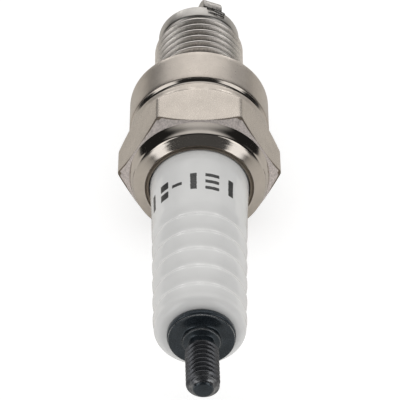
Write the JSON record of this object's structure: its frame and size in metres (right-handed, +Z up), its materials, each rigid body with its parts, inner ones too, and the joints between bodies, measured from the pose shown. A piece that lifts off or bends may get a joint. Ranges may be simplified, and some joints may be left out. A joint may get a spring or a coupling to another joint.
{
  "type": "spark plug",
  "caption": "Motorcycle spark plug: threaded hexagon shell with crush gasket, ribbed ceramic insulator, bare threaded terminal stud and a bent strap over the centre electrode.",
  "frame": {"origin": "on the surface the plug lies on, under its axis and halfway along its length", "axes": "+Y along the plug's axis towards the electrodes, so the terminal stud points to -Y; +Z up, out of the top flat of the hexagon"},
  "size_m": [0.0206, 0.07, 0.018],
  "materials": {
    "nickel_plated_steel": "satin",
    "glazed_alumina": "gloss",
    "black_oxide_steel": "satin",
    "conductive_glass": "satin",
    "resistor_compound": "matte",
    "nickel_alloy": "satin",
    "copper": "satin",
    "plain_steel": "satin",
    "pressed_talc": "matte",
    "plated_gasket_steel": "satin"
  },
  "bodies": {
    "plug_body": {"metal_shell": "nickel_plated_steel", "ceramic_insulator": "glazed_alumina", "terminal_stud": "black_oxide_steel", "upper_glass_seal": "conductive_glass", "resistor_core": "resistor_compound", "lower_glass_seal": "conductive_glass", "center_electrode": "nickel_alloy", "copper_core": "copper", "inner_seat_washer": "plain_steel", "lower_packing_ring": "plain_steel", "upper_packing_ring": "plain_steel", "talc_ring": "pressed_talc"},
    "strap": {"ground_electrode": "nickel_alloy"},
    "gasket": {"crush_gasket": "plated_gasket_steel"}
  },
  "joints": [
    {"name": "gap_setting_bend", "type": "hinge", "parent": "plug_body", "child": "strap", "pos_m": [0.0017, 0.0323, 0.01344], "axis": [-0.9336, 0, 0.3584], "range_deg": [-4, 3]},
    {"name": "gasket_slide", "type": "slide", "parent": "plug_body", "child": "gasket", "axis": [0, 1, 0], "range_m": [0, 0.0004]}
  ]
}
